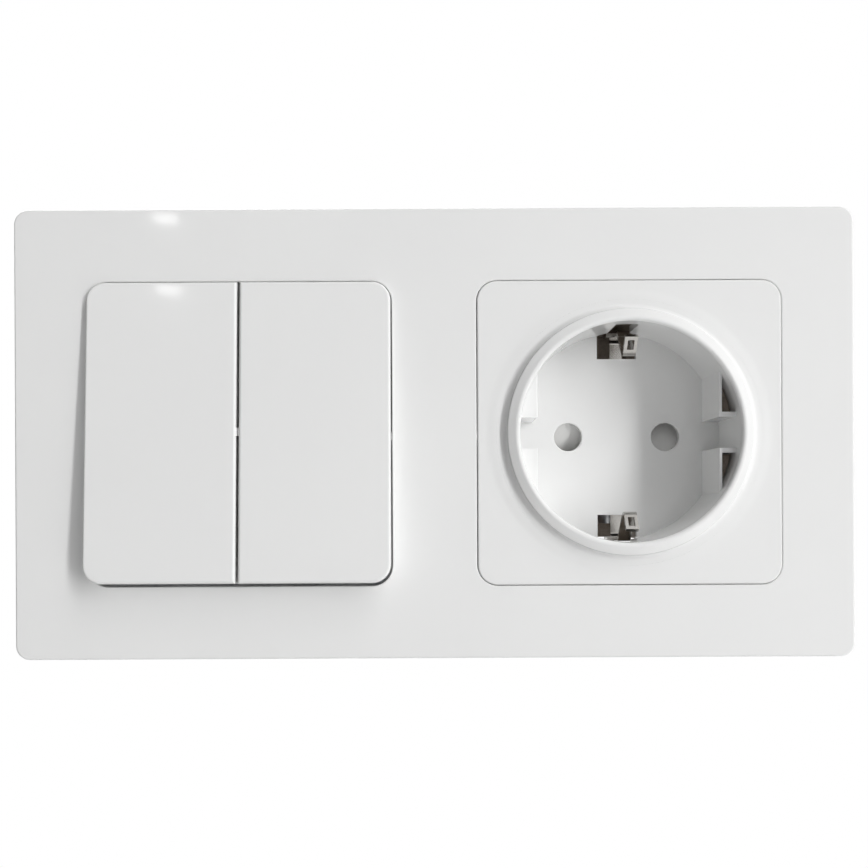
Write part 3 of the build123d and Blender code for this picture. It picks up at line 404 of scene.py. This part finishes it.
# %% [markdown]
# ## White for the camera
# Product pictures like this one are cut out on white. Sky and floor should be white
# to the camera and in mirror images, while the light that they give the object is
# weaker. The Light Path node knows what kind of ray asks, so one helper makes a
# factor from it that the sky and the floor both use.

# %% Rays that see white
def joined(tree, operation, first, second):
    """Two factors joined by a Math node."""
    join = tree.nodes.new("ShaderNodeMath")
    join.operation = operation
    tree.links.new(first, join.inputs[0])
    tree.links.new(second, join.inputs[1])
    return join.outputs["Value"]


def seen_directly(tree):
    """A factor that is one for camera, glossy and transmission rays."""
    path = tree.nodes.new("ShaderNodeLightPath")
    factor = path.outputs["Is Camera Ray"]
    for kind in ("Is Glossy Ray", "Is Transmission Ray"):
        factor = joined(tree, "MAXIMUM", factor, path.outputs[kind])
    return factor


print("white for camera and mirror-like rays ready")

# %% [markdown]
# ## Sky
# In the photograph the shade beside the left rocker is dark, but the shade in the
# plug well is not. So the room was bright in front of the object and dim at its left
# and at the sides. A gradient of the sky's own direction gives that: one factor falls
# off to the left and one to the sides, and their product is the sky's strength.

# %% Sky strength
sky_bright = 0.42
left_share, left_turn = 0.05, (-0.8, -0.05)
side_share, side_turn = 0.2, (-0.25, -0.75)

sky = bpy.data.worlds.new("studio_sky")
sky.use_nodes = True
sky_tree = sky.node_tree
sky_tree.nodes.clear()
way = sky_tree.nodes.new("ShaderNodeTexCoord")
parts = sky_tree.nodes.new("ShaderNodeSeparateXYZ")
sky_tree.links.new(way.outputs["Generated"], parts.inputs["Vector"])
from_left = spanned(sky_tree, parts.outputs["X"], *left_turn, left_share, 1.0)
from_side = spanned(sky_tree, parts.outputs["Y"], *side_turn,
                    side_share * sky_bright, sky_bright)
sky_strength = joined(sky_tree, "MULTIPLY", from_left, from_side)
print("sky gives", sky_bright, "from the front and", round(left_share * sky_bright, 3),
      "or less from the far left")

# %% Sky seen and sky felt
def background(tree):
    """A plain white background of strength one."""
    node = tree.nodes.new("ShaderNodeBackground")
    node.inputs["Color"].default_value = (1, 1, 1, 1)
    return node


soft, white = background(sky_tree), background(sky_tree)
choice = sky_tree.nodes.new("ShaderNodeMixShader")
sky_out = sky_tree.nodes.new("ShaderNodeOutputWorld")
sky_tree.links.new(sky_strength, soft.inputs["Strength"])
sky_tree.links.new(seen_directly(sky_tree), choice.inputs["Fac"])
sky_tree.links.new(soft.outputs["Background"], choice.inputs[1])
sky_tree.links.new(white.outputs["Background"], choice.inputs[2])
sky_tree.links.new(choice.outputs["Shader"], sky_out.inputs["Surface"])
scene.world = sky
print("camera sees a sky of strength", white.inputs["Strength"].default_value)

# %% [markdown]
# ## Floor
# A pale floor lies well below the object, out of the picture. It shows in views
# from the side and from above, where it catches a soft shadow. A little glow of its
# own, for the camera and mirror-like rays only, brings its lit part close to white
# and leaves the shadow grey. Towards the rim the glow grows, so the floor melts into
# the white sky like a studio's curved backdrop.

# %% Floor sheet
floor_half = 0.5
floor_drop = 0.30

floor_mesh = bpy.data.meshes.new("floor")
corners = [(x * floor_half, y * floor_half, 0) for x, y in ((-1, -1), (1, -1), (1, 1), (-1, 1))]
floor_mesh.from_pydata(corners, [], [(0, 1, 2, 3)])
floor = bpy.data.objects.new("floor", floor_mesh)
floor.location.z = cad_box[0][2] - floor_drop
scene.collection.objects.link(floor)
print("floor at", round(floor.location.z, 3))

# %% Floor finish
floor_glow = 0.27
rim_start = 0.22

floor_finish, floor_tree, floor_shader = new_finish("pale_floor")
tint(floor_tree, floor_shader, noise(floor_tree, 400 * mm),
     dark=(0.83, 0.83, 0.83), light=(0.85, 0.85, 0.85))
floor_shader.inputs["Roughness"].default_value = 0.9
floor_shader.inputs["Specular IOR Level"].default_value = 0.1
floor_shader.inputs["Emission Color"].default_value = (1, 1, 1, 1)
place = floor_tree.nodes.new("ShaderNodeTexCoord")
reach = floor_tree.nodes.new("ShaderNodeVectorMath")
reach.operation = "LENGTH"
floor_tree.links.new(place.outputs["Object"], reach.inputs[0])
rim_glow = spanned(floor_tree, reach.outputs["Value"], rim_start, floor_half,
                   floor_glow, 1.0, curve="SMOOTHSTEP")
glow = joined(floor_tree, "MULTIPLY", rim_glow, seen_directly(floor_tree))
floor_tree.links.new(glow, floor_shader.inputs["Emission Strength"])
floor_mesh.materials.append(floor_finish)
print("floor glows", floor_glow, "in its middle and 1 at its rim")

# %% [markdown]
# ## Lamps
# A studio lamp behind a diffuser is a soft rectangle, which Blender has as an area
# lamp. Places are easiest to think of as a bearing from the front, a rise and a
# distance, so one helper turns those into a point and another hangs a lamp there.

# %% Lamp helpers
def around(bearing, rise, distance):
    """The point at this bearing to the right of the front, this rise and this distance."""
    across = cos(radians(rise)) * distance
    return (sin(radians(bearing)) * across, -cos(radians(bearing)) * across,
            sin(radians(rise)) * distance)


def lamp(name, place, width, height, power, target=(0, 0, 0)):
    """A soft rectangular lamp at a place, looking at a target."""
    data = bpy.data.lights.new(name, "AREA")
    data.shape = "RECTANGLE"
    data.size = width
    data.size_y = height
    data.energy = power
    source = bpy.data.objects.new(name, data)
    source.location = place
    backward = Vector(place) - Vector(target)
    source.rotation_euler = backward.to_track_quat("Z", "Y").to_euler()
    scene.collection.objects.link(source)
    print(name, "at", [round(v, 3) for v in source.location], "gives", round(power, 4), "W")
    return source


print("lamp helpers ready, straight ahead is", around(bearing=0, rise=0, distance=1))

# %% [markdown]
# ## Main lamps
# The shadows tell where the light stood. Inside the plug well the shade of the
# right wall ends near the middle of the floor, which puts the main lamp about
# forty-six degrees to the right, and its soft edge gives the lamp's width. Below
# the rockers the shade is weak, so the lamp is tall. Two weaker lamps graze the
# front from the upper and the lower right: they light the flat faces, but reach
# neither the well's floor nor the shade beside the left rocker. A polarising filter
# on a real lens takes most of a lamp's mirror image away, which keeps the collar
# from burning out. Here each lamp is two: one that mirror-like rays don't see, and
# a weak one that they do.

# %% Main lamps
def filtered_lamp(name, place, width, height, power, mirrored):
    """A lamp seen through a polarising filter: mirror images show only a share of it."""
    plain = lamp(name, place, width, height, power * (1 - mirrored))
    plain.visible_glossy = False
    lamp(name + "_mirrored", place, width, height, power * mirrored)


filtered_lamp("tall_window", around(bearing=46, rise=10, distance=1.45),
              width=0.15, height=1.7, power=15.3, mirrored=0.04)
filtered_lamp("ceiling", around(bearing=44, rise=58, distance=1.4),
              width=0.6, height=0.6, power=6.3, mirrored=0.15)
filtered_lamp("table_glow", around(bearing=58, rise=-45, distance=0.42),
              width=0.25, height=0.25, power=0.29, mirrored=0.15)

# %% [markdown]
# ## Small lamp and back lamp
# Two small glints, one on the frame and one on the left rocker, lie on flat faces
# at different heights. Mirroring the view at both places gives rays that cross
# about a quarter of a metre in front of the upper left corner: a tiny bare lamp was
# there. It is so small that it adds no light worth naming, only its two mirror
# images. A wide lamp behind the wall line lets views of the back be read.

# %% Small lamp and back lamp
bulb_place = (-0.1115, -0.251, 0.105)
between_glints = (-0.049, -0.010, 0.033)
lamp("bare_bulb", bulb_place, width=10 * mm, height=3 * mm, power=0.0011,
     target=between_glints)
lamp("back_fill", around(bearing=197, rise=25, distance=1.6),
     width=1.2, height=1.2, power=13.0)

# %% [markdown]
# The Standard view keeps white plastic white.

# %% Finish
scene.view_settings.view_transform = "Standard"
